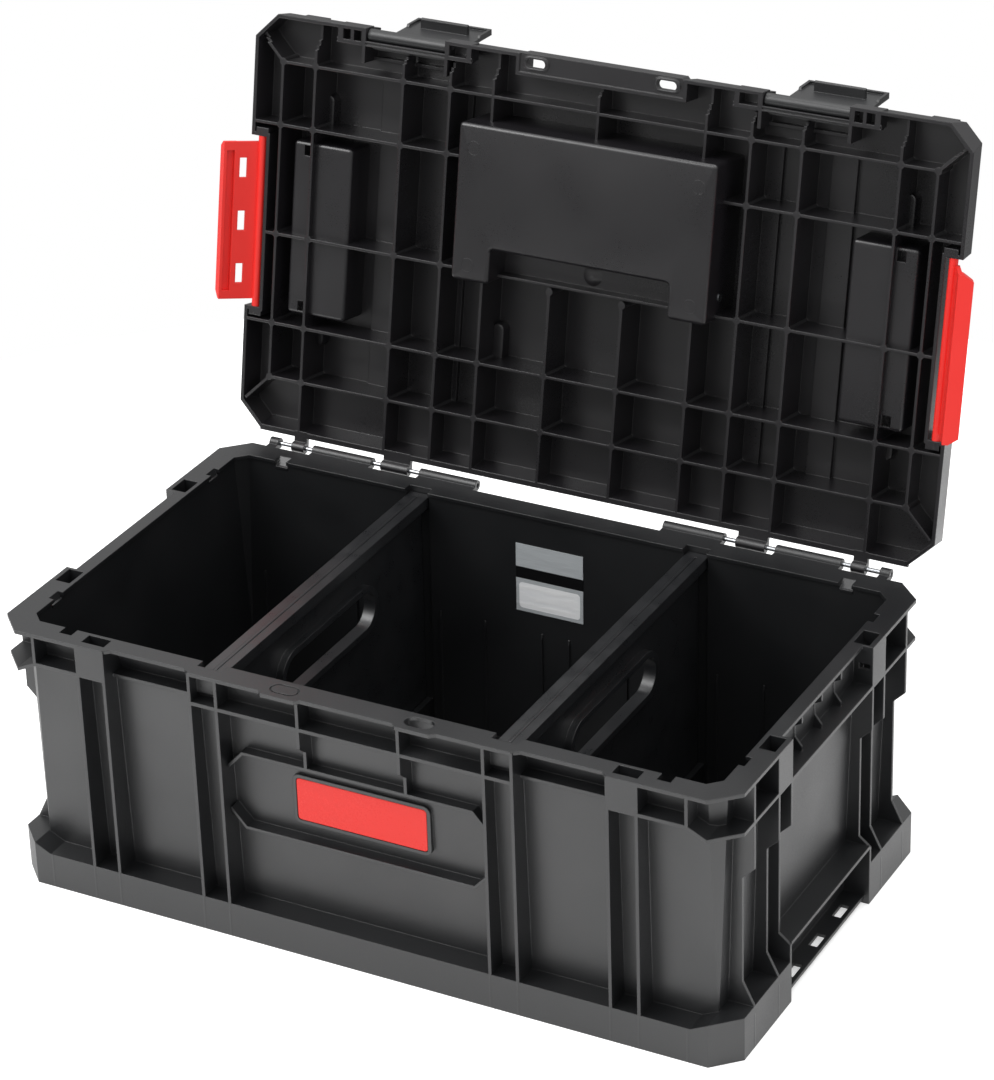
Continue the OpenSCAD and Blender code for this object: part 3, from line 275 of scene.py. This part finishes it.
def printed_foil(name):
    """Brushed silver polyester label: a black band and a white write-on field, all without print."""
    material, tree, shader = new_material(name)
    low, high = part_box("inside_label")
    side = high[0] - low[0]
    tall = high[2] - low[2]
    place = add_node(tree, "ShaderNodeTexCoord").outputs["Object"]
    axes = add_node(tree, "ShaderNodeSeparateXYZ", inputs={"Vector": place})
    # brushed lines across the label, 17 mm long and a third of a millimetre apart
    brushed = add_node(tree, "ShaderNodeMapping", inputs={"Vector": place, "Scale": (60, 60, 3000)})
    lines = add_node(tree, "ShaderNodeTexNoise", inputs={"Vector": brushed.outputs["Vector"], "Scale": 1.0,
                                                         "Detail": 2.0})
    silver = add_node(tree, "ShaderNodeMix", {"data_type": "RGBA"},
                      {0: lines.outputs["Fac"], 6: linear("#b2b7ba"), 7: linear("#d2d7da")})
    stripe = band(tree, axes.outputs["Z"], low[2] + STRIPE_LOW * tall, low[2] + STRIPE_HIGH * tall)
    centre = ((low[0] + high[0]) / 2, (low[1] + high[1]) / 2, low[2] + FIELD_MIDDLE * tall)
    field = rounded_field(tree, place, centre, FIELD_HALF_WIDE * side, FIELD_HALF_TALL * tall,
                          FIELD_CORNER * side)
    black = add_node(tree, "ShaderNodeMix", {"data_type": "RGBA"},
                     {0: stripe, 6: silver.outputs[2], 7: linear("#0c0c0e")})
    # soft slanting creases across the write-on field, 20 mm long and 4 mm apart; the white is painted a shade
    # greyer in their hollows, which is painted shade
    drawn = add_node(tree, "ShaderNodeMapping", inputs={"Vector": place, "Rotation": (0, 0.25, 0),
                                                        "Scale": (50, 50, 230)})
    creased = add_node(tree, "ShaderNodeTexNoise", inputs={"Vector": drawn.outputs["Vector"], "Scale": 1.0,
                                                           "Detail": 1.5, "Distortion": 0.6})
    white = add_node(tree, "ShaderNodeMix", {"data_type": "RGBA"},
                     {0: creased.outputs["Fac"], 6: linear("#eef1f4"), 7: linear("#ffffff")})
    inked = add_node(tree, "ShaderNodeMix", {"data_type": "RGBA"},
                     {0: field, 6: black.outputs[2], 7: white.outputs[2]})
    tree.links.new(inked.outputs[2], shader.inputs["Base Color"])
    printed = add_node(tree, "ShaderNodeMath", {"operation": "MAXIMUM"}, {0: stripe, 1: field})
    metal = add_node(tree, "ShaderNodeMath", {"operation": "MULTIPLY_ADD"},
                     {0: printed.outputs["Value"], 1: -FOIL_METAL, 2: FOIL_METAL})
    tree.links.new(metal.outputs["Value"], shader.inputs["Metallic"])
    bump = add_node(tree, "ShaderNodeBump", inputs={"Strength": 0.5, "Distance": 0.6 * MM,
                                                    "Height": creased.outputs["Fac"]})
    tree.links.new(bump.outputs["Normal"], shader.inputs["Normal"])
    shader.inputs["Roughness"].default_value = 0.38
    return material


# Polypropylene moulded black: outside from a spark-eroded mould, so satin
black_pp = moulded_plastic("black_polypropylene", dark="#141517", light="#18191b", roughness=0.4, shine=1.0,
                           edge_mm=0.8, grain_depth=0.35, sinks=True)
# The lid's underside comes off smoother steel: darker and glossier, and its thin ribs have round edges
lid_pp = moulded_plastic("black_polypropylene_lid", dark="#161518", light="#1b191c", roughness=0.33,
                         shine=1.0, edge_mm=0.9, grain_depth=0.25)
# The loose dividers are more broken in gloss from handling. Their paler base is partly handling wear and
# partly painted light, standing in for the light their bars catch from above
divider_pp = moulded_plastic("black_polypropylene_divider", dark="#1a1b1d", light="#212224", roughness=0.34,
                             shine=1.0, edge_mm=0.8, grain_depth=0.3, flow_mm=14)
# Thermoplastic elastomer moulded over the handle's bar: matt, with a coarser grain and soft edges
grip_tpe = moulded_plastic("soft_grip_elastomer", dark="#17181a", light="#1c1d1e", roughness=0.68, shine=0.4,
                           edge_mm=1.2, grain_depth=0.5, grain_mm=1.2)
# Polypropylene coloured red in the mass, with a satin face
red_pp = moulded_plastic("red_clip_polypropylene", dark="#ee2a24", light="#f5322a", roughness=0.38, shine=0.5,
                         edge_mm=0.6, grain_depth=0.25)
# Red badge, moulded smooth, so glossier and almost without grain
badge_red = moulded_plastic("badge_red_gloss", dark="#e42820", light="#e72d24", roughness=0.28, shine=0.45,
                            edge_mm=0.4, grain_depth=0.04)
label_foil = printed_foil("label_silver_foil")
pin_steel = drawn_steel("drawn_steel")

finish_of = {
    "tub": black_pp,
    "lid": lid_pp,
    "divider_left": divider_pp,
    "divider_right": divider_pp,
    "front_latch_left": black_pp,
    "front_latch_right": black_pp,
    "carry_handle": black_pp,
    "handle_grip": grip_tpe,
    "side_clip_left": red_pp,
    "side_clip_right": red_pp,
    "badge_plate": badge_red,
    "inside_label": label_foil,
}
for name, node in frame["nodes"].items():
    node.data.materials.clear()
    node.data.materials.append(finish_of.get(name, pin_steel))


# Mesh helpers


def settle(piece, body):
    """A finished piece is linked into the scene and rides on its body."""
    bpy.context.scene.collection.objects.link(piece)
    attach(piece, body)


def finished(name, mesh, finish):
    """A piece made of the built mesh, with its material."""
    data = bpy.data.meshes.new(name)
    mesh.to_mesh(data)
    mesh.free()
    data.materials.append(finish)
    return bpy.data.objects.new(name, data)


def wall_between(mesh, lower, upper):
    """A wall of faces between two rings of points."""
    for k in range(len(lower)):
        after = (k + 1) % len(lower)
        mesh.faces.new((lower[k], lower[after], upper[after], upper[k]))


# Plates that stand on a flat face: the badge's face and the ridges of the dividers

CORNER_STEPS = 6
SMALLEST_CORNER = 0.3


def rounded_outline(width, height, radius):
    """Points of a rounded rectangle about its centre, anticlockwise."""
    points = []
    for sx, sy, start in ((1, 1, 0), (-1, 1, 90), (-1, -1, 180), (1, -1, 270)):
        for k in range(CORNER_STEPS + 1):
            turn = math.radians(start + 90 * k / CORNER_STEPS)
            points.append((sx * (width / 2 - radius) + radius * math.cos(turn),
                           sy * (height / 2 - radius) + radius * math.sin(turn)))
    return points


def crowned_plate(name, centre, across, up, size, radius, profile, finish):
    """A plate on a face. Its edge follows the profile, pairs of inset and height in millimetres."""
    width, height = size
    out = across.cross(up)
    mesh = bmesh.new()
    rings = []
    for inset, rise in profile:
        corner = max(radius - inset, SMALLEST_CORNER)
        outline = rounded_outline(width - 2 * inset, height - 2 * inset, corner)
        rings.append([mesh.verts.new((centre + across * x + up * y + out * rise) * MM) for x, y in outline])
    for lower, upper in zip(rings, rings[1:]):
        wall_between(mesh, lower, upper)
    mesh.faces.new(reversed(rings[0]))
    mesh.faces.new(rings[-1])
    return finished(name, mesh, finish)


BADGE_CORNER = 2.4
BADGE_EDGE = ((0, 0.45), (0.15, 0.2), (0.45, 0.05), (1.2, 0), (6, 0))  # inset, and depth below the face


def red_badge():
    """Bare red badge with rounded corners and a thin bevelled edge, flush in its black frame."""
    low, high = (Vector(corner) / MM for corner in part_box("badge_plate"))
    width, thick, height = high - low
    centre = Vector(((low.x + high.x) / 2, high.y, (low.z + high.z) / 2))
    profile = [(0, 0)] + [(inset, thick - below) for inset, below in BADGE_EDGE]
    badge = crowned_plate("badge_face", centre, Vector((1, 0, 0)), Vector((0, 0, 1)), (width, height),
                          BADGE_CORNER, profile, badge_red)
    settle(badge, "tub")
    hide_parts("badge_plate")


RIDGE_WIDE = 2.3
RIDGE_CORNER = 0.9
RIDGE_SHORT = 12.4  # how much shorter the ridge is than the bar
RIDGE_PROFILE = [(0, -0.7), (0, 0.1), (0.25, 0.35), (0.6, 0.42)]  # from the groove's floor to the ridge's top


def bar_ridge(divider):
    """Low ridge that the mould leaves along the middle of a divider's top bar, in its shallow groove."""
    low, high = (Vector(corner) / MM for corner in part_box(divider))
    centre = Vector(((low.x + high.x) / 2, (low.y + high.y) / 2, high.z))
    ridge = crowned_plate(divider + "_ridge", centre, Vector((1, 0, 0)), Vector((0, 1, 0)),
                          (RIDGE_WIDE, high.y - low.y - RIDGE_SHORT), RIDGE_CORNER, RIDGE_PROFILE, divider_pp)
    settle(ridge, divider)


red_badge()
bar_ridge("divider_left")
bar_ridge("divider_right")


# Rounded skins over the hollows and beads under the lid

PROUD = 1.1  # the skins of the wells stand this far off the sharp-edged CAD walls
EDGE = 2.6  # radius of their long edges
EDGE_STEPS = 4
CORNER = 2.9  # radius of their corners
SHELL = 2.4  # thickness of every skin, so that its inside ends within the CAD wall
ROOTED = 0.5  # how far a skin reaches into the lid's own skin
SMOOTH_TURN = 0.6  # an edge that turns more than this, in radians, stays sharp


def eased_outline(corners, radius, inset):
    """A right-angled outline, anticlockwise, drawn in by inset, with all its corners rounded."""
    points = []
    for k, corner in enumerate(corners):
        here = Vector(corner)
        come = (here - Vector(corners[k - 1])).normalized()
        go = (Vector(corners[(k + 1) % len(corners)]) - here).normalized()
        side = -1 if come.cross(go) < 0 else 1  # -1 in a hollow corner
        centre = here + (go - come) * radius
        start = math.atan2(-come.x * side, come.y * side)
        for j in range(EDGE_STEPS + 1):
            turn = start + side * math.pi / 2 * j / EDGE_STEPS
            points.append(centre + (radius - side * inset) * Vector((math.cos(turn), math.sin(turn))))
    return points


def moulded_shell(name, outline_at, profile, pockets=()):
    """The rounded outside of a form under the lid, as a thin open shell. outline_at gives its outline for an
    inset, as pairs of x and distance from the lid's back edge. The profile is pairs of inset and rise, and a
    pocket through the face is x and distance."""
    mesh = bmesh.new()

    def ring(outline, rise):
        return [mesh.verts.new(on_lid(x, at, rise)) for x, at in outline]

    def cap(loops):
        edges = [mesh.edges.get(pair) for loop in loops for pair in zip(loop, loop[1:] + loop[:1])]
        bmesh.ops.triangle_fill(mesh, use_beauty=True, edges=edges)

    base, face = profile[0][1], profile[-1][1]
    inner = [ring(outline_at(SHELL), rise) for rise in (face - SHELL, base)]
    outer = [ring(outline_at(inset), rise) for inset, rise in profile]
    for lower, upper in zip(inner + outer, (inner + outer)[1:]):
        wall_between(mesh, lower, upper)
    outside, inside = [outer[-1]], [inner[0]]
    for x, at in pockets:
        left, right = x - POCKET_HALF_WIDE, x + POCKET_HALF_WIDE
        back, front = at - POCKET_HALF_LONG, at + POCKET_HALF_LONG
        square = [(left, back), (right, back), (right, front), (left, front)]
        outside.append(ring(square, face))
        inside.append(ring(square, face - SHELL))
        wall_between(mesh, outside[-1], inside[-1])
    cap(outside)
    cap(inside)
    bmesh.ops.recalc_face_normals(mesh, faces=mesh.faces)
    for part in mesh.faces:
        part.smooth = True
    for edge in mesh.edges:
        edge.smooth = edge.calc_face_angle(0) < SMOOTH_TURN
    shell = finished(name, mesh, lid_pp)
    shell.data.transform(OPEN)
    settle(shell, "lid")


def round_edge(face):
    """Profile of a wall that stands up from the lid's skin and rolls over into a face."""
    turns = [math.pi / 2 * k / EDGE_STEPS for k in range(EDGE_STEPS + 1)]
    rolled = [(EDGE - EDGE * math.cos(turn), face - EDGE + EDGE * math.sin(turn)) for turn in turns]
    return [(0, -SKIN - ROOTED)] + rolled


def handle_well_shell():
    """Rounded housing of the handle well, with its two legs."""
    half = WELL_HALF + PROUD
    leg = WELL_LEG_HALF - PROUD
    front = WELL_FRONT_AT + PROUD
    back = WELL_BACK_AT - PROUD
    end = WELL_LEGS_AT - PROUD
    corners = [(-half, end), (-leg, end), (-leg, back), (leg, back), (leg, end), (half, end), (half, front),
               (-half, front)]
    moulded_shell("handle_well_shell", functools.partial(eased_outline, corners, CORNER),
                  round_edge(WELL_RISE + PROUD))


def side_well_shell(name, side):
    """Rounded housing of one side well, with its two square pockets."""
    left, right = sorted((side * (SIDE_WELL_INNER - PROUD), side * (SIDE_WELL_OUTER + PROUD)))
    back = SIDE_WELL_BACK_AT - PROUD
    front = SIDE_WELL_FRONT_AT + PROUD
    corners = [(left, back), (right, back), (right, front), (left, front)]
    middle = (back + front) / 2
    pockets = [(side * POCKET_X, middle + offset) for offset in (-POCKET_OFFSET, POCKET_OFFSET)]
    moulded_shell(name, functools.partial(eased_outline, corners, CORNER),
                  round_edge(-SIDE_WELL_ABOVE + PROUD), pockets)


BEAD_TIP_STEPS = 12
BEAD_SLANT = 0.2  # keeps the inner wall's start apart from the outer one's, inside the rib


def bead_outline(x, start, end, inset):
    """Outline of a bead: square where it starts inside a rib, and round at its far end."""
    way = 1 if end > start else -1
    half = BEAD_HALF - inset
    root = start + way * BEAD_SLANT * inset
    turns = [math.pi * k / BEAD_TIP_STEPS for k in range(BEAD_TIP_STEPS + 1)]
    tip = [(x + half * math.cos(turn), end + way * half * math.sin(turn)) for turn in turns]
    return [(x - half, root), (x + half, root)] + tip


def bead_shell(name, x, start, end):
    """A bead with a flat face and a rolled edge, over the half-round CAD one."""
    face = BEAD_TALL - SKIN
    profile = [(0, -SKIN - ROOTED)] + [(inset, face - below) for inset, below in BEAD_ROLL]
    moulded_shell(name, functools.partial(bead_outline, x, start, end), profile)


handle_well_shell()
for side, hand in ((-1, "left"), (1, "right")):
    side_well_shell("side_well_shell_" + hand, side)
    for which, x, start, end in BEADS:
        bead_shell("bead_shell_" + which + "_" + hand, side * x, start, end)


# Rings that repeat, made by geometry trees


def node_group(name, inputs):
    """An empty geometry tree with its named inputs, and one mesh output."""
    tree = bpy.data.node_groups.new(name, "GeometryNodeTree")
    for label, kind, value in inputs:
        made = tree.interface.new_socket(label, in_out="INPUT", socket_type=kind)
        made.default_value = value
    tree.interface.new_socket("Mesh", in_out="OUTPUT", socket_type="NodeSocketGeometry")
    return tree, add_node(tree, "NodeGroupInput"), add_node(tree, "NodeGroupOutput")


def end_with_rings(tree, given, end, outline, points):
    """Ends a tree: the outline swept with a round wire, set on every point, and given its finish."""
    wire = add_node(tree, "GeometryNodeCurvePrimitiveCircle",
                    inputs={"Resolution": 8, "Radius": given.outputs["Wire"]})
    ring = add_node(tree, "GeometryNodeCurveToMesh",
                    inputs={"Curve": outline.outputs["Curve"], "Profile Curve": wire.outputs["Curve"]})
    placed = add_node(tree, "GeometryNodeInstanceOnPoints",
                      inputs={"Points": points.outputs["Mesh"], "Instance": ring.outputs["Mesh"]})
    real = add_node(tree, "GeometryNodeRealizeInstances", inputs={"Geometry": placed.outputs["Instances"]})
    coated = add_node(tree, "GeometryNodeSetMaterial",
                      inputs={"Geometry": real.outputs["Geometry"], "Material": given.outputs["Finish"]})
    tree.links.new(coated.outputs["Geometry"], end.inputs["Mesh"])


def grown(name, tree, values, place):
    """The plain mesh piece that a geometry tree makes with these values, at its place on the open lid."""
    holder = bpy.data.objects.new(name + "_tree", bpy.data.meshes.new(name + "_tree"))
    bpy.context.scene.collection.objects.link(holder)
    modifier = holder.modifiers.new("tree", "NODES")
    modifier.node_group = tree
    for item in tree.interface.items_tree:
        if item.in_out == "INPUT" and item.name in values:
            modifier[item.identifier] = values[item.name]
    shape = bpy.data.meshes.new_from_object(holder.evaluated_get(bpy.context.evaluated_depsgraph_get()))
    shape.transform(OPEN @ Matrix.Translation(place))
    bpy.data.objects.remove(holder)
    shape.name = name
    return bpy.data.objects.new(name, shape)


def grip_rings_tree():
    """Raised finger rings round a square grip: one rounded square ring, set along a line."""
    tree, given, end = node_group("grip_rings", [
        ("Rings", "NodeSocketInt", 24), ("Spacing", "NodeSocketFloat", 5 * MM),
        ("Side", "NodeSocketFloat", GRIP_SIDE * MM), ("Corner", "NodeSocketFloat", 4.6 * MM),
        ("Wire", "NodeSocketFloat", RING_WIRE * MM), ("Finish", "NodeSocketMaterial", None)])
    span = add_node(tree, "ShaderNodeMath", {"operation": "SUBTRACT"}, {0: given.outputs["Rings"], 1: 1.0})
    half = add_node(tree, "ShaderNodeMath", {"operation": "MULTIPLY"},
                    {0: span.outputs["Value"], 1: given.outputs["Spacing"]})
    first = add_node(tree, "ShaderNodeMath", {"operation": "MULTIPLY"}, {0: half.outputs["Value"], 1: -0.5})
    start = add_node(tree, "ShaderNodeCombineXYZ", inputs={"X": first.outputs["Value"]})
    step = add_node(tree, "ShaderNodeCombineXYZ", inputs={"X": given.outputs["Spacing"]})
    line = add_node(tree, "GeometryNodeMeshLine",
                    inputs={"Count": given.outputs["Rings"], "Start Location": start.outputs["Vector"],
                            "Offset": step.outputs["Vector"]})
    square = add_node(tree, "GeometryNodeCurvePrimitiveQuadrilateral",
                      inputs={"Width": given.outputs["Side"], "Height": given.outputs["Side"]})
    turned = add_node(tree, "GeometryNodeTransform",
                      inputs={"Geometry": square.outputs["Curve"], "Rotation": (0, math.pi / 2, 0)})
    eased = add_node(tree, "GeometryNodeFilletCurve", {"mode": "POLY"},
                     {"Curve": turned.outputs["Geometry"], "Count": 5, "Radius": given.outputs["Corner"],
                      "Limit Radius": True})
    end_with_rings(tree, given, end, eased, line)
    return tree


def moulded_rings_tree():
    """Raised rings on a face, round or oval, set out in rows of two. Its own sizes are the ejector marks'."""
    tree, given, end = node_group("moulded_rings", [
        ("Across", "NodeSocketFloat", 165 * MM), ("Along", "NodeSocketFloat", 80 * MM),
        ("Rows", "NodeSocketInt", 2), ("Length", "NodeSocketFloat", 9.2 * MM),
        ("Width", "NodeSocketFloat", 9.2 * MM), ("Wire", "NodeSocketFloat", 0.3 * MM),
        ("Finish", "NodeSocketMaterial", None)])
    grid = add_node(tree, "GeometryNodeMeshGrid",
                    inputs={"Size X": given.outputs["Across"], "Size Y": given.outputs["Along"],
                            "Vertices X": 2, "Vertices Y": given.outputs["Rows"]})
    square = add_node(tree, "GeometryNodeCurvePrimitiveQuadrilateral",
                      inputs={"Width": given.outputs["Length"], "Height": given.outputs["Width"]})
    # just under half the width, so that no two corner points fall together
    corner = add_node(tree, "ShaderNodeMath", {"operation": "MULTIPLY"},
                      {0: given.outputs["Width"], 1: 0.499})
    oval = add_node(tree, "GeometryNodeFilletCurve", {"mode": "POLY"},
                    {"Curve": square.outputs["Curve"], "Count": 10, "Radius": corner.outputs["Value"],
                     "Limit Radius": True})
    end_with_rings(tree, given, end, oval, grid)
    return tree


def grip_rings():
    """Raised rings of the handle's soft grip, on the CAD sleeve."""
    middle_at = LID_DEPTH - GRIP_FRONT - GRIP_SIDE / 2
    place = on_lid(0, middle_at, GRIP_SIDE / 2 - GRIP_TOP)
    side = GRIP_SIDE - 2 * RING_WIRE + RING_PROUD
    rings = grown("grip_rings", grip_rings_tree(), {"Side": side * MM, "Finish": grip_tpe}, place)
    settle(rings, "carry_handle")


def moulded_rings():
    """Four fine marks of ejector pins on the handle well's face, and the rims of the padlock holes."""
    tree = moulded_rings_tree()
    face = on_lid(0, EJECTOR_MARKS_AT, WELL_RISE + PROUD - EJECTOR_MARKS_SUNK)
    marks = grown("ejector_marks", tree, {"Finish": lid_pp}, face)
    settle(marks, "lid")
    strip = on_lid(0, PADLOCK_HOLES_AT, -PADLOCK_RIMS_SUNK)
    rims = grown("padlock_rims", tree, {"Across": PADLOCK_HOLES_APART * MM, "Along": 0.0, "Rows": 1,
                                        "Length": 16.8 * MM, "Width": 7.8 * MM, "Wire": 0.9 * MM,
                                        "Finish": lid_pp}, strip)
    settle(rims, "lid")


grip_rings()
moulded_rings()


# Floor, light and camera

WHITE = (1, 1, 1, 1)
CLEAR_FLOOR = 0.5  # how much of the floor's white the camera sees without shadow
FLOOR_SHINE = 0.3  # and how much reflections see
TABLE_REACH = 0.9  # the lit table's radius in metres
SKY_FILL = 0.95  # what the world gives matt surfaces
SKY_HORIZON = 0.24  # what reflections see of it at the horizon
SKY_OVERHEAD = 1.0  # and overhead
SKY_TOP = 0.8  # how far up, from 0 to 1, it is as bright as overhead


def camera_and_shiny_rays(tree):
    """1 for the camera's rays, and 1 for the rays of reflections and through glass."""
    ray = add_node(tree, "ShaderNodeLightPath")
    shiny = add_node(tree, "ShaderNodeMath", {"operation": "MAXIMUM"},
                     {0: ray.outputs["Is Glossy Ray"], 1: ray.outputs["Is Transmission Ray"]})
    return ray.outputs["Is Camera Ray"], shiny.outputs["Value"]


def studio_floor():
    """White studio floor that keeps the object's soft shadow and stays white to the camera."""
    material, tree, shader = new_material("studio_floor")
    shader.inputs["Base Color"].default_value = linear("#f4f4f4")
    shader.inputs["Roughness"].default_value = 1.0
    shader.inputs["Specular IOR Level"].default_value = 0.0
    camera, shiny = camera_and_shiny_rays(tree)
    mirrored = add_node(tree, "ShaderNodeMath", {"operation": "MULTIPLY"}, {0: shiny, 1: FLOOR_SHINE})
    glow = add_node(tree, "ShaderNodeMath", {"operation": "MULTIPLY_ADD"},
                    {0: camera, 1: CLEAR_FLOOR, 2: mirrored.outputs["Value"]})
    shader.inputs["Emission Color"].default_value = WHITE
    tree.links.new(glow.outputs["Value"], shader.inputs["Emission Strength"])
    return material


def round_table():
    """The lit white table the case stands on."""
    mesh = bmesh.new()
    bmesh.ops.create_circle(mesh, cap_ends=True, segments=96, radius=TABLE_REACH)
    table = finished("floor", mesh, studio_floor())
    bpy.context.scene.collection.objects.link(table)


def studio_world():
    """Soft studio: white to the camera, bright overhead and dimmer round the horizon for the object."""
    world = bpy.data.worlds.new("studio")
    bpy.context.scene.world = world
    world.use_nodes = True
    tree = world.node_tree
    tree.nodes.clear()
    camera, shiny = camera_and_shiny_rays(tree)
    towards = add_node(tree, "ShaderNodeTexCoord").outputs["Generated"]
    axes = add_node(tree, "ShaderNodeSeparateXYZ", inputs={"Vector": towards})
    level = add_node(tree, "ShaderNodeMapRange",
                     inputs={"Value": axes.outputs["Z"], "From Min": 0.0, "From Max": SKY_TOP,
                             "To Min": SKY_HORIZON, "To Max": SKY_OVERHEAD})
    fill = add_node(tree, "ShaderNodeMix", inputs={0: shiny, 2: SKY_FILL, 3: level.outputs["Result"]})
    lit = add_node(tree, "ShaderNodeBackground", inputs={"Color": WHITE, "Strength": fill.outputs[0]})
    seen = add_node(tree, "ShaderNodeBackground", inputs={"Color": WHITE, "Strength": 1.0})
    pick = add_node(tree, "ShaderNodeMixShader",
                    inputs={0: camera, 1: lit.outputs["Background"], 2: seen.outputs["Background"]})
    add_node(tree, "ShaderNodeOutputWorld", inputs={"Surface": pick.outputs["Shader"]})


def softbox(name, place, aim, size, watts):
    """A rectangular studio light that points at aim."""
    lamp = bpy.data.lights.new(name, "AREA")
    lamp.shape = "RECTANGLE"
    lamp.size, lamp.size_y = size
    lamp.energy = watts
    holder = bpy.data.objects.new(name, lamp)
    holder.location = place
    holder.rotation_euler = (Vector(aim) - Vector(place)).to_track_quat("-Z", "Y").to_euler()
    bpy.context.scene.collection.objects.link(holder)


# The photograph's viewpoint, worked out from the case's corners: place in metres, turns in degrees
CAMERA_PLACE = (1.10372, -1.95837, 1.42423)
CAMERA_YAW = -28.76
CAMERA_PITCH = -27.79
CAMERA_ROLL = -1.88
CAMERA_LENS = 132.13


def photograph_camera():
    """The camera at the photograph's viewpoint."""
    yaw, pitch, roll = (math.radians(turn) for turn in (CAMERA_YAW, CAMERA_PITCH, CAMERA_ROLL))
    ahead = Vector((math.sin(yaw) * math.cos(pitch), math.cos(yaw) * math.cos(pitch), math.sin(pitch)))
    level = Vector((math.cos(yaw), -math.sin(yaw), 0))
    above = level.cross(ahead)
    right = level * math.cos(roll) + above * math.sin(roll)
    up = above * math.cos(roll) - level * math.sin(roll)
    data = bpy.data.cameras.new("camera")
    data.lens = CAMERA_LENS
    data.sensor_width = 36
    data.clip_start = 0.1
    data.clip_end = 30
    eye = bpy.data.objects.new("camera", data)
    turned = Matrix((right, up, -ahead)).transposed().to_4x4()
    eye.matrix_world = Matrix.Translation(CAMERA_PLACE) @ turned
    bpy.context.scene.collection.objects.link(eye)
    bpy.context.scene.camera = eye


round_table()
studio_world()
softbox("key", place=(-1.6, -1.2, 2.2), aim=(0, 0, 0.15), size=(1.6, 1.6), watts=32)
softbox("top", place=(0.3, 0.5, 2.6), aim=(0, 0, 0.1), size=(2.0, 1.4), watts=18)
photograph_camera()
bpy.context.scene.view_settings.view_transform = "Standard"
